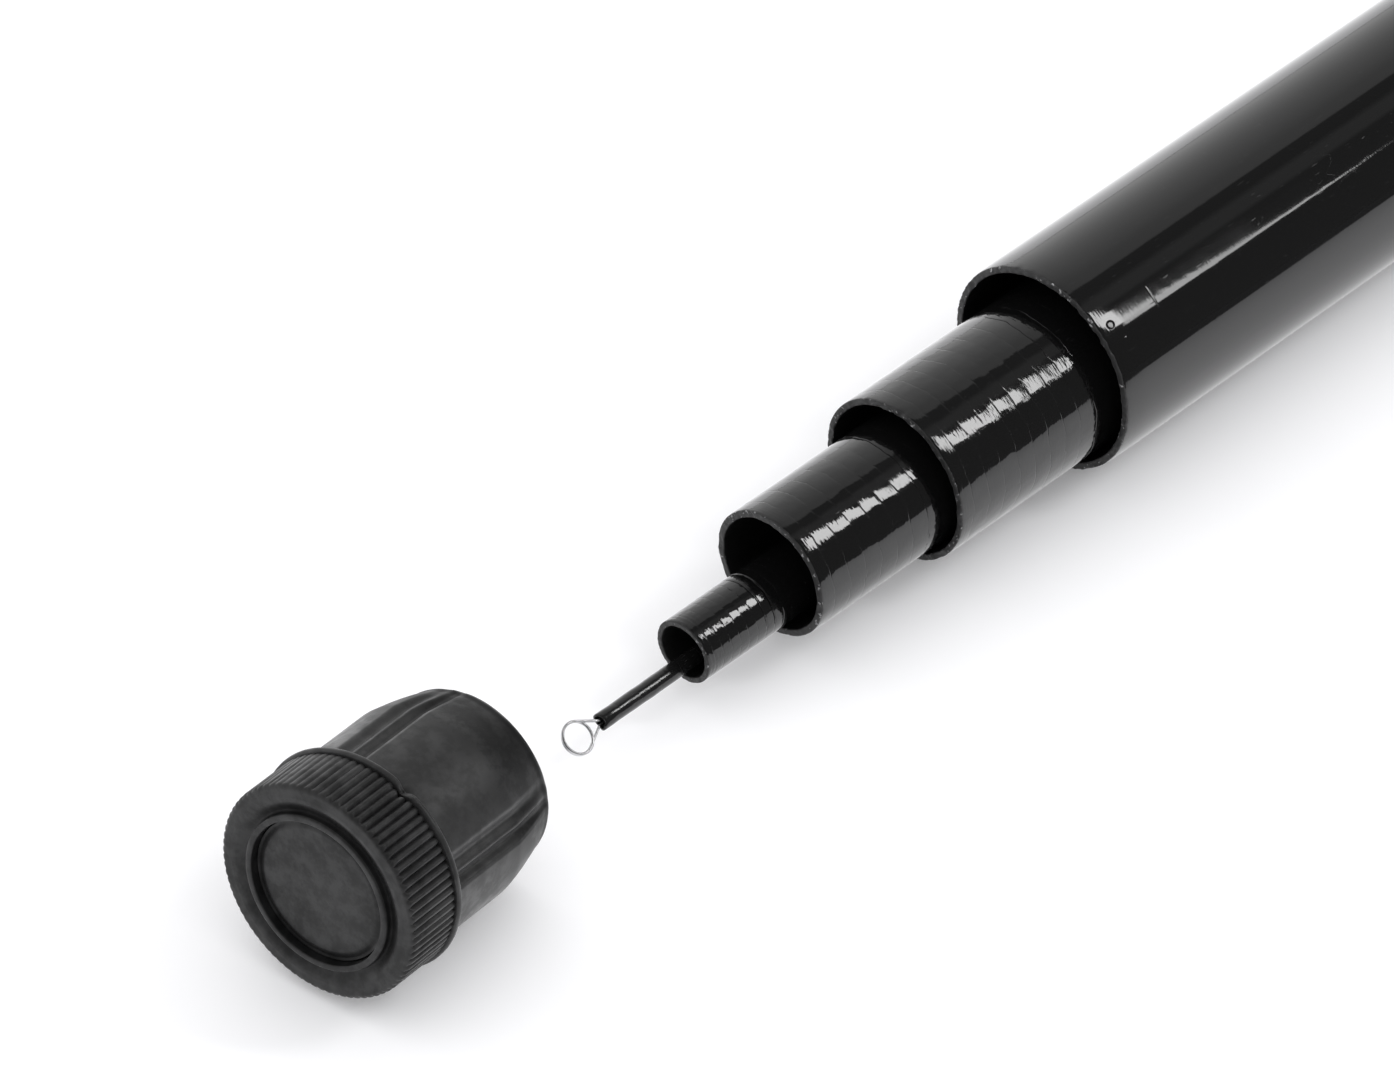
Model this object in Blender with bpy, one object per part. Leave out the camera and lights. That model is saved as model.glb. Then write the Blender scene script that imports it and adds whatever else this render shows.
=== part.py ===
"""Five-section telescopic float rod, drawn out a little at the mouth, with its end plug taken off.

Metres, +Z up. The rod lies along X with its tip towards +X, and the plug lies in front of the tip.
"""

import math

import bmesh
import bpy
from mathutils import Matrix

# Room between pieces
seat_gap = 0.0003
slide_gap = 0.0003
stop_gap = 0.0005

# Butt blank
butt_length = 1.070
butt_mouth_radius = 0.0140
butt_rear_radius = 0.0158
butt_wall = 0.00102

# Inner blanks: radius and wall at the mouth, how far the mouth stands ahead of the butt's mouth,
# how much deeper the blank may sink into the one around it, and how much stays inside when drawn out
section_4_mouth_radius = 0.01098
section_4_wall = 0.00088
section_4_ahead = 0.0264
section_4_overlap = 0.070

section_3_mouth_radius = 0.00849
section_3_wall = 0.00097
section_3_ahead = 0.0481
section_3_sink = 0.006
section_3_overlap = 0.060

section_2_mouth_radius = 0.00423
section_2_wall = 0.00075
section_2_ahead = 0.0629
section_2_sink = 0.010
section_2_overlap = 0.050

tip_end_radius = 0.0005
tip_ahead = 0.0770
tip_sink = 0.014
tip_overlap = 0.040

# Sleeve on the end of the tip, and the wire ring that it holds
sleeve_radius = 0.00110
sleeve_wall = 0.00030
sleeve_length = 0.0240
sleeve_grip = 0.0140
wire_radius = 0.00020
ring_radius = 0.00195
ring_reach = 0.0035
ring_turn_step = 0.00055
ring_roll = math.radians(37)
leg_spread = 0.00032
leg_depth = 0.0060

# Grip sleeve at the rear of the butt
grip_length = 0.260
grip_wall = 0.0008

# Threaded ring in the rear of the butt, and the cap that screws into it
insert_length = 0.0135
insert_bore_radius = 0.01350
thread_gap = 0.0004
cap_spigot_length = 0.0140
cap_spigot_wall = 0.0016
cap_rim_length = 0.0110
cap_rim_inset = 0.0002
cap_face_gap = 0.0010
cap_edge = 0.0010
cap_floor = 0.0030
cap_teeth = 40
cap_tooth_depth = 0.0004
coin_slot_width = 0.0018
coin_slot_depth = 0.0016
o_ring_thickness = 0.0018
pad_thickness = 0.0060
pad_stand = 0.0010

# End plug
plug_head_radius = 0.01370
plug_head_length = 0.0076
plug_head_edge = 0.0004
plug_teeth = 82
plug_tooth_depth = 0.00040
plug_tooth_end = 0.0003
plug_lip_radius = 0.01410
plug_lip_length = 0.0016
plug_lip_edge = 0.0003
plug_body_radius = 0.01280
plug_shoulder = 0.0136
plug_nose_radius = 0.01125
plug_nose_length = 0.0217
plug_nose_edge = 0.0014
plug_bore_radius = 0.0093
plug_bore_end = 0.0040
plug_bore_chamfer = 0.0004
flute_zones = 4
flute_first = math.radians(17.5)
flute_half_width = math.radians(10.2)
flute_depth = 0.00060
flute_fade = 0.06

# Recess in the plug's face, and the plain disc that sits in it
recess_radius = 0.01005
recess_depth = 0.0014
recess_brow = 0.0005
disc_radius = 0.00910
disc_edge = 0.0006
disc_sunk = 0.0001

# Where the plug lies: its lip's centre ahead of the butt's mouth and to the side, and its heading
plug_ahead = 0.1190
plug_side = 0.0029
plug_heading = math.radians(7.5)

blank_sides = 28
small_sides = 24
plug_sides = 72


def clear_scene():
    for obj in list(bpy.data.objects):
        bpy.data.objects.remove(obj, do_unlink=True)


def material(name, colour, roughness, metallic=0.0):
    made = bpy.data.materials.new(name)
    made.use_nodes = True
    shader = made.node_tree.nodes["Principled BSDF"]
    shader.inputs["Base Color"].default_value = (*colour, 1.0)
    shader.inputs["Roughness"].default_value = roughness
    shader.inputs["Metallic"].default_value = metallic
    return made


def empty(name, parent=None, location=(0, 0, 0), rotation=(0, 0, 0)):
    made = bpy.data.objects.new(name, None)
    bpy.context.scene.collection.objects.link(made)
    made.parent = parent
    made.location = location
    made.rotation_euler = rotation
    made.empty_display_size = 0.02
    return made


def place(obj, parent, look=None, helper=False):
    bpy.context.scene.collection.objects.link(obj)
    obj.parent = parent
    if look:
        obj.data.materials.append(look)
    if helper:
        obj.hide_render = True
        obj.display_type = "WIRE"
    return obj


def skin(name, loops, parent, look=None, wrap=False, helper=False):
    """A closed solid through loops of points. A loop of one point is a pole, and wrap joins the ends."""
    mesh = bmesh.new()
    rows = [[mesh.verts.new(point) for point in loop] for loop in loops]
    pairs = list(zip(rows, rows[1:]))
    if wrap:
        pairs.append((rows[-1], rows[0]))
    for near, far in pairs:
        count = max(len(near), len(far))
        for i in range(count):
            j = (i + 1) % count
            if len(near) == 1:
                mesh.faces.new((near[0], far[j], far[i]))
            elif len(far) == 1:
                mesh.faces.new((near[i], near[j], far[0]))
            else:
                mesh.faces.new((near[i], near[j], far[j], far[i]))
    if not wrap:
        for row in (rows[0], rows[-1]):
            if len(row) > 1:
                mesh.faces.new(row)
    bmesh.ops.recalc_face_normals(mesh, faces=mesh.faces)
    data = bpy.data.meshes.new(name)
    mesh.to_mesh(data)
    mesh.free()
    data.shade_smooth()
    data.set_sharp_from_angle(angle=math.radians(32))
    return place(bpy.data.objects.new(name, data), parent, look, helper)


def circle(x, radius, sides):
    """Points round the X axis, with a flat side down. No radius gives the one point on the axis."""
    if radius <= 0:
        return [(x, 0, 0)]
    turns = [2 * math.pi * (i + 0.5) / sides for i in range(sides)]
    return [(x, radius * math.cos(angle), radius * math.sin(angle)) for angle in turns]


def turned(name, outline, sides, parent, look=None, wrap=False, helper=False):
    loops = [circle(x, radius, sides) for x, radius in outline]
    return skin(name, loops, parent, look, wrap, helper)


def rounded(x, radius, edge, towards, steps=4):
    """Outline points of an outer edge rounded from its side (radius) onto its end face (x)."""
    points = []
    for i in range(steps + 1):
        angle = math.pi / 2 * i / steps
        points.append((
            x - towards * edge * (1 - math.sin(angle)),
            radius - edge * (1 - math.cos(angle)),
        ))
    return points


def toothed(x, crest, depth, teeth):
    """A loop of fine teeth round the X axis, four points to a tooth."""
    points = []
    for i in range(teeth):
        for share, drop in ((0.0, depth), (0.22, depth), (0.50, 0), (0.72, 0)):
            angle = 2 * math.pi * (i + share) / teeth
            radius = crest - drop
            points.append((x, radius * math.cos(angle), radius * math.sin(angle)))
    return points


def joined(obj, other, operation):
    step = obj.modifiers.new(f"{operation.lower()} {other.name}", "BOOLEAN")
    step.operation = operation
    step.solver = "EXACT"
    step.object = other


def blank_lean(mouth_radius, rear_radius, length):
    """Half angle of a blank's taper."""
    return math.atan((rear_radius - mouth_radius) / length)


def rear_radius_for(mouth_radius, length, around_bore, around_lean, overlap):
    """Largest rear radius that still clears the bore of the blank around it when drawn out."""
    room = around_bore - slide_gap
    own_taper = (room - overlap * mouth_radius / length) / (1 - overlap / length)
    return min(own_taper, room + overlap * math.tan(around_lean))


def blank_outline(mouth_radius, rear_radius, wall, length, edge=0.00012):
    """Closed outline of a tube from its mouth at x = 0 to its rear, with its cut edges just broken."""
    taper = (rear_radius - mouth_radius) / length
    return [
        (0, mouth_radius - edge),
        (-edge, mouth_radius),
        (-length + edge, rear_radius - taper * edge),
        (-length, rear_radius - edge),
        (-length, rear_radius - wall + edge),
        (-length + edge, rear_radius - wall),
        (-edge, mouth_radius - wall),
        (0, mouth_radius - wall + edge),
    ]


clear_scene()

lacquer = material("black lacquer", (0.012, 0.012, 0.013), 0.12)
rubber = material("black plug rubber", (0.035, 0.035, 0.036), 0.55)
grip_rubber = material("grip rubber", (0.02, 0.02, 0.02), 0.75)
shell = material("cap plastic", (0.03, 0.03, 0.032), 0.45)
steel = material("steel wire", (0.75, 0.75, 0.77), 0.2, 1.0)
foam = material("grey foam", (0.16, 0.16, 0.17), 0.9)
alloy = material("insert alloy", (0.45, 0.45, 0.47), 0.4, 1.0)

# Lengths along the rod, from the butt's mouth
plug_depth = plug_nose_length - plug_lip_length
section_4_home = -(plug_depth + 0.001)
pad_face = -butt_length + cap_spigot_length + pad_stand - cap_face_gap
home_line = pad_face + stop_gap
section_4_travel = section_4_ahead - section_4_home
section_3_travel = section_4_travel + section_3_sink
section_2_travel = section_3_travel + section_2_sink
tip_travel = section_2_travel + tip_sink
section_4_length = section_4_home - home_line
section_3_length = section_3_ahead - section_3_travel - home_line
section_2_length = section_2_ahead - section_2_travel - home_line
tip_length = tip_ahead - tip_travel - home_line

# Tapers
butt_lean = blank_lean(butt_mouth_radius, butt_rear_radius, butt_length)
section_4_rear_radius = rear_radius_for(
    section_4_mouth_radius, section_4_length, butt_mouth_radius - butt_wall, butt_lean, section_4_overlap
)
section_4_lean = blank_lean(section_4_mouth_radius, section_4_rear_radius, section_4_length)
section_3_rear_radius = rear_radius_for(
    section_3_mouth_radius, section_3_length, section_4_mouth_radius - section_4_wall, section_4_lean,
    section_3_overlap,
)
section_3_lean = blank_lean(section_3_mouth_radius, section_3_rear_radius, section_3_length)
section_2_rear_radius = rear_radius_for(
    section_2_mouth_radius, section_2_length, section_3_mouth_radius - section_3_wall, section_3_lean,
    section_2_overlap,
)
section_2_lean = blank_lean(section_2_mouth_radius, section_2_rear_radius, section_2_length)
tip_rear_radius = rear_radius_for(
    sleeve_radius, tip_length, section_2_mouth_radius - section_2_wall, section_2_lean, tip_overlap
)
tip_lean = blank_lean(sleeve_radius, tip_rear_radius, tip_length)

# Heights of the lowest lines, each blank lying in the bore of the one around it
section_4_low = butt_wall + slide_gap
section_3_low = section_4_low + section_4_wall + slide_gap
section_2_low = section_3_low + section_3_wall + slide_gap
tip_low = section_2_low + section_2_wall + slide_gap

# The rod rests on its mouth and on the front edge of its grip, and sits centred with the plug on X = 0
grip_stand = seat_gap + grip_wall
rod_lie = math.asin(grip_stand / (butt_length - grip_length))
rear_reach = butt_length + cap_face_gap + cap_rim_length
front_reach = plug_ahead + plug_head_length
mouth_x = (rear_reach - front_reach) / 2
rod_frame = empty("rod_frame", location=(mouth_x, 0, 0), rotation=(0, rod_lie, 0))


def blank_frame(name, ahead, low, mouth_radius, lean):
    """Axis of a blank at its mouth, leaning so that its lowest line runs level with the rod."""
    return empty(name, rod_frame, (ahead, 0, low + mouth_radius * math.cos(lean)), (0, lean, 0))


butt_axis = blank_frame("butt_axis", 0, 0, butt_mouth_radius, butt_lean)
section_4_axis = blank_frame(
    "section_4_axis", section_4_ahead, section_4_low, section_4_mouth_radius, section_4_lean
)
section_3_axis = blank_frame(
    "section_3_axis", section_3_ahead, section_3_low, section_3_mouth_radius, section_3_lean
)
section_2_axis = blank_frame(
    "section_2_axis", section_2_ahead, section_2_low, section_2_mouth_radius, section_2_lean
)
tip_axis = blank_frame("tip_axis", tip_ahead, tip_low, sleeve_radius, tip_lean)


def make_blanks():
    for name, axis, mouth_radius, rear_radius, wall, length in (
        ("butt_blank", butt_axis, butt_mouth_radius, butt_rear_radius, butt_wall, butt_length),
        ("section_4", section_4_axis, section_4_mouth_radius, section_4_rear_radius, section_4_wall,
         section_4_length),
        ("section_3", section_3_axis, section_3_mouth_radius, section_3_rear_radius, section_3_wall,
         section_3_length),
        ("section_2", section_2_axis, section_2_mouth_radius, section_2_rear_radius, section_2_wall,
         section_2_length),
    ):
        outline = blank_outline(mouth_radius, rear_radius, wall, length)
        turned(name, outline, blank_sides, axis, lacquer, wrap=True)


def make_tip():
    """Solid glass tip, its end pushed into a short sleeve that also holds the legs of the ring."""
    end = -(sleeve_length - sleeve_grip)
    start = -tip_length
    edge = 0.0001
    outline = [(end, 0), (end, tip_end_radius - edge), (end - edge, tip_end_radius)]
    outline += [(-sleeve_length - seat_gap, tip_end_radius)]
    outline += [(-sleeve_length - 0.004, sleeve_radius)]
    outline += [(start, tip_rear_radius), (start, 0)]
    turned("tip_blank", outline, small_sides, tip_axis, lacquer)
    outline = blank_outline(sleeve_radius, sleeve_radius, sleeve_wall, sleeve_length, 0.00006)
    turned("tip_sleeve", outline, small_sides, tip_axis, lacquer, wrap=True)


def ring_route():
    """Wire centre line in the ring's plane: in along one leg, round the loop, and out along the other."""
    swing = math.acos(ring_radius / math.hypot(ring_reach, leg_spread))
    first = math.pi - math.atan(leg_spread / ring_reach) - swing
    sweep = 2 * math.pi + 2 * first
    steps = 48
    loop = []
    for i in range(steps + 1):
        angle = first - sweep * i / steps
        rise = ring_turn_step * (i / steps - 0.5)
        loop.append((
            ring_reach + ring_radius * math.cos(angle),
            ring_radius * math.sin(angle),
            rise,
        ))
    rise = ring_turn_step / 2
    leg_in = [(-leg_depth, leg_spread, -rise), (-leg_depth / 2, leg_spread, -rise), (0, leg_spread, -rise)]
    leg_out = [(0, -leg_spread, rise), (-leg_depth / 2, -leg_spread, rise), (-leg_depth, -leg_spread, rise)]
    return leg_in + loop + leg_out


def make_ring():
    data = bpy.data.curves.new("tip_ring", "CURVE")
    data.dimensions = "3D"
    data.bevel_depth = wire_radius
    data.bevel_resolution = 2
    data.use_fill_caps = True
    route = ring_route()
    line = data.splines.new("POLY")
    line.points.add(len(route) - 1)
    for point, place_at in zip(line.points, route):
        point.co = (*place_at, 1)
    ring = place(bpy.data.objects.new("tip_ring", data), tip_axis, steel)
    ring.rotation_euler = (-ring_roll, 0, 0)


def make_grip():
    """Shrunk rubber grip over the rear of the butt, following its taper."""
    taper = math.tan(butt_lean)
    rear = butt_rear_radius + grip_stand
    front = rear - taper * grip_length
    outline = [
        (x - butt_length + grip_length, radius)
        for x, radius in blank_outline(front, rear, grip_wall, grip_length, 0.0003)
    ]
    turned("grip_sleeve", outline, blank_sides, butt_axis, grip_rubber, wrap=True)


def make_rear_end():
    """Threaded insert, screw cap, sealing ring and cushion. The threads themselves are fine detail."""
    rear_bore = butt_rear_radius - butt_wall
    insert_radius = rear_bore - math.tan(butt_lean) * insert_length - seat_gap
    outline = [
        (x - butt_length + insert_length, radius)
        for x, radius in blank_outline(
            insert_radius, insert_radius, insert_radius - insert_bore_radius, insert_length
        )
    ]
    turned("insert_ring", outline, blank_sides, butt_axis, alloy, wrap=True)

    spigot_radius = insert_bore_radius - thread_gap
    rim_radius = butt_rear_radius + grip_stand - cap_rim_inset
    rim_front = -butt_length - cap_face_gap
    rim_back = rim_front - cap_rim_length
    cup_radius = spigot_radius - cap_spigot_wall
    cup_floor = rim_front - cap_rim_length + cap_floor + coin_slot_depth
    spigot_end = rim_front + cap_spigot_length
    groove = o_ring_thickness + 2 * seat_gap - cap_face_gap
    groove_outer = spigot_radius + o_ring_thickness + 2 * seat_gap
    root = rim_radius - cap_tooth_depth
    outline = [(cup_floor, 0), (cup_floor, cup_radius), (spigot_end, cup_radius)]
    outline += [(spigot_end, spigot_radius - cap_edge / 2), (spigot_end - cap_edge / 2, spigot_radius)]
    outline += [(rim_front - groove, spigot_radius), (rim_front - groove, groove_outer)]
    outline += [(rim_front, groove_outer), (rim_front, root - cap_edge / 2), (rim_front - cap_edge / 2, root)]
    outline += rounded(rim_back, root, cap_edge, -1)
    outline += [(rim_back, 0)]
    cap = turned("butt_cap", outline, blank_sides, butt_axis, shell)
    knurl_loops = [
        toothed(rim_front - groove - cap_edge, root + 0.00001, 0.0002, cap_teeth),
        toothed(rim_front - groove - 2 * cap_edge, rim_radius, cap_tooth_depth + 0.0002, cap_teeth),
        toothed(rim_back + 3 * cap_edge, rim_radius, cap_tooth_depth + 0.0002, cap_teeth),
        toothed(rim_back + 2 * cap_edge, root + 0.00001, 0.0002, cap_teeth),
    ]
    knurl = skin("cap_knurl", knurl_loops, butt_axis, helper=True)
    joined(cap, knurl, "UNION")
    slot = skin("coin_slot", [
        [(x, -coin_slot_width / 2, -2 * rim_radius), (x, coin_slot_width / 2, -2 * rim_radius),
         (x, coin_slot_width / 2, 2 * rim_radius), (x, -coin_slot_width / 2, 2 * rim_radius)]
        for x in (rim_back - coin_slot_depth, rim_back + coin_slot_depth)
    ], butt_axis, helper=True)
    joined(cap, slot, "DIFFERENCE")

    centre_radius = spigot_radius + seat_gap + o_ring_thickness / 2
    centre_x = rim_front - groove + seat_gap + o_ring_thickness / 2
    outline = []
    around = 8
    for i in range(around):
        angle = 2 * math.pi * i / around
        outline.append((
            centre_x + o_ring_thickness / 2 * math.sin(angle),
            centre_radius + o_ring_thickness / 2 * math.cos(angle),
        ))
    turned("cap_o_ring", outline, blank_sides, butt_axis, rubber, wrap=True)

    front = spigot_end + pad_stand
    radius = cup_radius - seat_gap
    edge = pad_stand / 2
    outline = [(front, 0)] + rounded(front, radius, edge, 1)[::-1]
    outline += [(front - pad_thickness, radius), (front - pad_thickness, 0)]
    turned("cushion_pad", outline, blank_sides, butt_axis, foam)


# Resting tilt of the plug, lying on its lip and on the shoulder of its body
plug_tilt = math.atan((plug_lip_radius - plug_body_radius) / (plug_shoulder - plug_lip_length))
plug_height = plug_lip_radius * math.cos(plug_tilt) + plug_lip_length * math.sin(plug_tilt)
plug_frame = empty(
    "plug_frame", location=(mouth_x + plug_ahead, plug_side, plug_height), rotation=(0, -plug_tilt, plug_heading)
)


def plug_body_stations():
    """Station along the body towards the nose, and the body's radius there."""
    stations = [(0, plug_body_radius), (plug_shoulder, plug_body_radius)]
    stations += [(plug_shoulder + 0.0012, plug_body_radius - 0.00016)]
    cone_end = plug_nose_length - plug_nose_edge
    share = 0.5
    middle = plug_body_radius + (plug_nose_radius - plug_body_radius) * share
    stations += [((plug_shoulder + cone_end) * share, middle + 0.00014)]
    stations += [(x, radius) for x, radius in rounded(plug_nose_length, plug_nose_radius, plug_nose_edge, 1, 4)]
    return stations


def fluted_loop(station, radius):
    """Round land with shallow channels that die out at the nose, each with a low rib down its middle."""
    fade = max(0.0, (station - plug_shoulder) / (plug_nose_length - plug_shoulder))
    depth = flute_depth * (1 - (1 - flute_fade) * fade)
    depth = min(depth, depth * max(0.0, (radius - plug_bore_radius) / (plug_nose_radius - plug_bore_radius)))
    zone = 2 * math.pi / flute_zones
    shape = (
        (-1, 0), (-0.86, 0.2), (-0.6, 0.9), (-0.44, 1), (-0.14, 0.4), (0, 0.2), (0.14, 0.4), (0.4, 0.85),
        (0.62, 0.75), (1, 0),
    )
    land_steps = 8
    points = []
    for i in range(flute_zones):
        middle = flute_first + zone * i
        for share, drop in shape:
            points.append((middle + share * flute_half_width, radius - drop * depth))
        start = middle + flute_half_width
        span = zone - 2 * flute_half_width
        for j in range(1, land_steps):
            points.append((start + span * j / land_steps, radius))
    return [(-station, r * math.cos(angle), r * math.sin(angle)) for angle, r in points]


def make_plug():
    """Moulded rubber plug: knurled head with a thin lip, and a hollow fluted body with a tapered nose."""
    face = plug_head_length
    root = plug_head_radius - plug_tooth_depth
    lip_back = -plug_lip_length
    edge = plug_lip_edge
    body = skin(
        "end_plug", [fluted_loop(s, r) for s, r in plug_body_stations()], plug_frame, rubber
    )
    outline = [(face - recess_depth, 0), (face - recess_depth, recess_radius - edge)]
    outline += [(face - recess_depth + edge, recess_radius), (face - recess_brow, recess_radius)]
    outline += [(face - 0.3 * recess_brow, recess_radius + 0.3 * recess_brow), (face, recess_radius + recess_brow)]
    outline += rounded(face, root, plug_head_edge, 1, 3)[::-1]
    outline += [(0.0001, root), (0, plug_lip_radius - edge), (-edge, plug_lip_radius)]
    outline += [(lip_back + edge, plug_lip_radius), (lip_back, plug_lip_radius - edge), (lip_back, 0)]
    head = turned("plug_head", outline, plug_sides, plug_frame, helper=True)
    joined(body, head, "UNION")
    buried = 0.0002
    front = face - plug_tooth_end / 2
    back = 0.00005 - edge
    teeth_loops = [
        toothed(front, plug_head_radius - plug_tooth_end, plug_tooth_depth, plug_teeth),
        toothed(front - plug_tooth_end, plug_head_radius, plug_tooth_depth + buried, plug_teeth),
        toothed(back, plug_head_radius, plug_tooth_depth + buried, plug_teeth),
        circle(back, plug_head_radius - 0.0015, 4 * plug_teeth),
        circle(front, plug_head_radius - 0.0015, 4 * plug_teeth),
    ]
    teeth = skin("plug_knurl", teeth_loops, plug_frame, wrap=True, helper=True)
    joined(body, teeth, "UNION")
    mouth = -plug_nose_length
    chamfer = plug_bore_chamfer
    outline = [(mouth - chamfer, 0), (mouth - chamfer, plug_bore_radius + 2 * chamfer)]
    outline += [(mouth + chamfer, plug_bore_radius), (plug_bore_end - 0.001, plug_bore_radius)]
    outline += [(plug_bore_end, plug_bore_radius - 0.001), (plug_bore_end, 0)]
    hollow = turned("plug_hollow", outline, 48, plug_frame, helper=True)
    joined(body, hollow, "DIFFERENCE")

    front = face - disc_sunk
    back = face - recess_depth + seat_gap
    outline = [(front, 0)] + rounded(front, disc_radius, disc_edge, 1, 3)[::-1]
    outline += [(back, disc_radius), (back, 0)]
    turned("plug_disc", outline, plug_sides, plug_frame, rubber)


make_blanks()
make_tip()
make_ring()
make_grip()
make_rear_end()
make_plug()
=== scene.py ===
import math

import bmesh
import bpy
from mathutils import Matrix, Vector, noise


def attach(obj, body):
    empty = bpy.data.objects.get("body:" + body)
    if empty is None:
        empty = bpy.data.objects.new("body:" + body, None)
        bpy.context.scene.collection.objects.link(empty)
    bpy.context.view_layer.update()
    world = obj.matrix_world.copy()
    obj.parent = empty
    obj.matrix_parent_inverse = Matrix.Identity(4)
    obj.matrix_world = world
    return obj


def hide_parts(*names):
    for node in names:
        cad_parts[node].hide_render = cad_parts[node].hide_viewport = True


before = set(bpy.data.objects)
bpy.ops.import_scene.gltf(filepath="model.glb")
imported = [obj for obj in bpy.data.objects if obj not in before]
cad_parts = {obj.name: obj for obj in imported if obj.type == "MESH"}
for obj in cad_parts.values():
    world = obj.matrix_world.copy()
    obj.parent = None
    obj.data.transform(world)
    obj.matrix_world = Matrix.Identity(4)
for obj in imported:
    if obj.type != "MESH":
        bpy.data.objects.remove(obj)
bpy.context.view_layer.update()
scene = bpy.context.scene
scene.view_settings.view_transform = "Standard"
print("frame loaded:", len(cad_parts), "nodes")

mm = 0.001


# shader helpers

def newMaterial(name):
    material = bpy.data.materials.new(name)
    material.use_nodes = True
    return material, material.node_tree, material.node_tree.nodes["Principled BSDF"]


def join(tree, value, socket):
    if isinstance(value, bpy.types.NodeSocket):
        tree.links.new(value, socket)
    else:
        socket.default_value = value


def addNode(tree, kind, inputs=None, **settings):
    node = tree.nodes.new(kind)
    for key, value in settings.items():
        setattr(node, key, value)
    for key, value in (inputs or {}).items():
        join(tree, value, node.inputs[key])
    return node


def mathNode(tree, operation, first, second=0.0, clamp=False):
    node = addNode(tree, "ShaderNodeMath", {0: first, 1: second}, operation=operation, use_clamp=clamp)
    return node.outputs[0]


def plus(tree, *values):
    total = values[0]
    for value in values[1:]:
        total = mathNode(tree, "ADD", total, value)
    return total


def minus(tree, first, second):
    return mathNode(tree, "SUBTRACT", first, second)


def times(tree, first, second, clamp=False):
    return mathNode(tree, "MULTIPLY", first, second, clamp)


def axesOf(tree, vector):
    return addNode(tree, "ShaderNodeSeparateXYZ", {"Vector": vector}).outputs


def mixColours(tree, share, first, second):
    node = addNode(tree, "ShaderNodeMix", data_type="RGBA")
    for socket, value in ((node.inputs[0], share), (node.inputs[6], first), (node.inputs[7], second)):
        join(tree, value, socket)
    return node.outputs[2]


def mapRange(tree, value, low, high, toLow=0.0, toHigh=1.0, smooth=False):
    node = addNode(tree, "ShaderNodeMapRange", {
        "Value": value, "From Min": low, "From Max": high, "To Min": toLow, "To Max": toHigh,
    })
    if smooth:
        node.interpolation_type = "SMOOTHSTEP"
    return node.outputs[0]


def noiseField(tree, vector, scale, detail=3.0, roughness=0.5):
    node = addNode(tree, "ShaderNodeTexNoise", {
        "Vector": vector, "Scale": scale, "Detail": detail, "Roughness": roughness,
    })
    return node.outputs["Fac"]


def stretch(tree, vector, along, around, turn=0.0):
    node = addNode(tree, "ShaderNodeMapping", {"Vector": vector, "Scale": (along, around, 1.0)})
    node.inputs["Rotation"].default_value = (0, 0, math.radians(turn))
    return node.outputs[0]


def grey(value):
    return (value, value, value * 1.02, 1.0)


def newGroup(name, inputs, outputs):
    # a vector and numbers come in; a number's label is its name in a look
    group = bpy.data.node_groups.new(name, "ShaderNodeTree")
    group.interface.new_socket("vector", in_out="INPUT", socket_type="NodeSocketVector")
    for side, labels in (("INPUT", inputs), ("OUTPUT", outputs)):
        for label in labels.split():
            group.interface.new_socket(label, in_out=side, socket_type="NodeSocketFloat")
    return group, group.nodes.new("NodeGroupInput").outputs, group.nodes.new("NodeGroupOutput").inputs


def useGroup(tree, group, vector, look):
    node = addNode(tree, "ShaderNodeGroup", node_tree=group)
    for socket in node.inputs:
        join(tree, vector if socket.name == "vector" else look[socket.name], socket)
    return node.outputs


def makeScuffGroup():
    # patches of handling wear and fine dust, as two masks
    group, ins, outs = newGroup("surfaceScuff", "patch speck specks", "Patches Specks")
    patches = noiseField(group, ins["vector"], ins["patch"], 4.0, 0.55)
    join(group, mapRange(group, patches, 0.38, 0.66, smooth=True), outs["Patches"])
    specks = noiseField(group, ins["vector"], ins["speck"], 2.0, 0.6)
    cut = minus(group, 0.82, times(group, ins["specks"], 0.16))
    raised = minus(group, specks, cut)
    join(group, times(group, raised, 14.0, clamp=True), outs["Specks"])
    return group


def makeWrapGroup():
    # turns of the narrow tape that a blank is wrapped with; the vector holds mm along and mm round
    group, ins, outs = newGroup(
        "wrapTurns", "pitch crown lineWidth line ripple rippleScale flame flameScale", "Height Line",
    )
    axes = axesOf(group, ins["vector"])
    along = axes[0]
    waver = noiseField(group, stretch(group, ins["vector"], 0.35, 1.0), 0.22, 2.0)
    turn = plus(group, mathNode(group, "DIVIDE", along, ins["pitch"]), times(group, waver, 0.5))
    part = mathNode(group, "FRACT", turn)
    swing = times(group, minus(group, part, 0.5), 2.0)
    square = times(group, swing, swing)
    crown = times(group, minus(group, 1.0, square), ins["crown"])
    start = minus(group, 1.0, mathNode(group, "DIVIDE", ins["lineWidth"], ins["pitch"]))
    edge = mapRange(group, mathNode(group, "ABSOLUTE", swing), start, 1.0, smooth=True)
    here = noiseField(group, stretch(group, ins["vector"], 0.3, 1.0), 0.35, 1.0)  # the line comes and goes
    edge = times(group, edge, mapRange(group, here, 0.36, 0.52, smooth=True))
    rise = minus(group, crown, times(group, edge, ins["line"]))
    # each turn settles a little differently, and its skin runs in fine flames across it
    stepped = plus(group, times(group, mathNode(group, "FLOOR", turn), 5.3),
                       times(group, part, times(group, ins["pitch"], 0.9)))
    cells = addNode(group, "ShaderNodeCombineXYZ", {0: stepped, 1: axes[1]}).outputs[0]
    ripple = times(group, noiseField(group, cells, ins["rippleScale"], 1.0, 0.35), ins["ripple"])
    flame = noiseField(group, stretch(group, ins["vector"], 4.0, 1.0), ins["flameScale"], 1.0, 0.5)
    flame = times(group, flame, ins["flame"])
    join(group, plus(group, rise, ripple, flame), outs["Height"])
    join(group, edge, outs["Line"])
    return group


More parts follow.
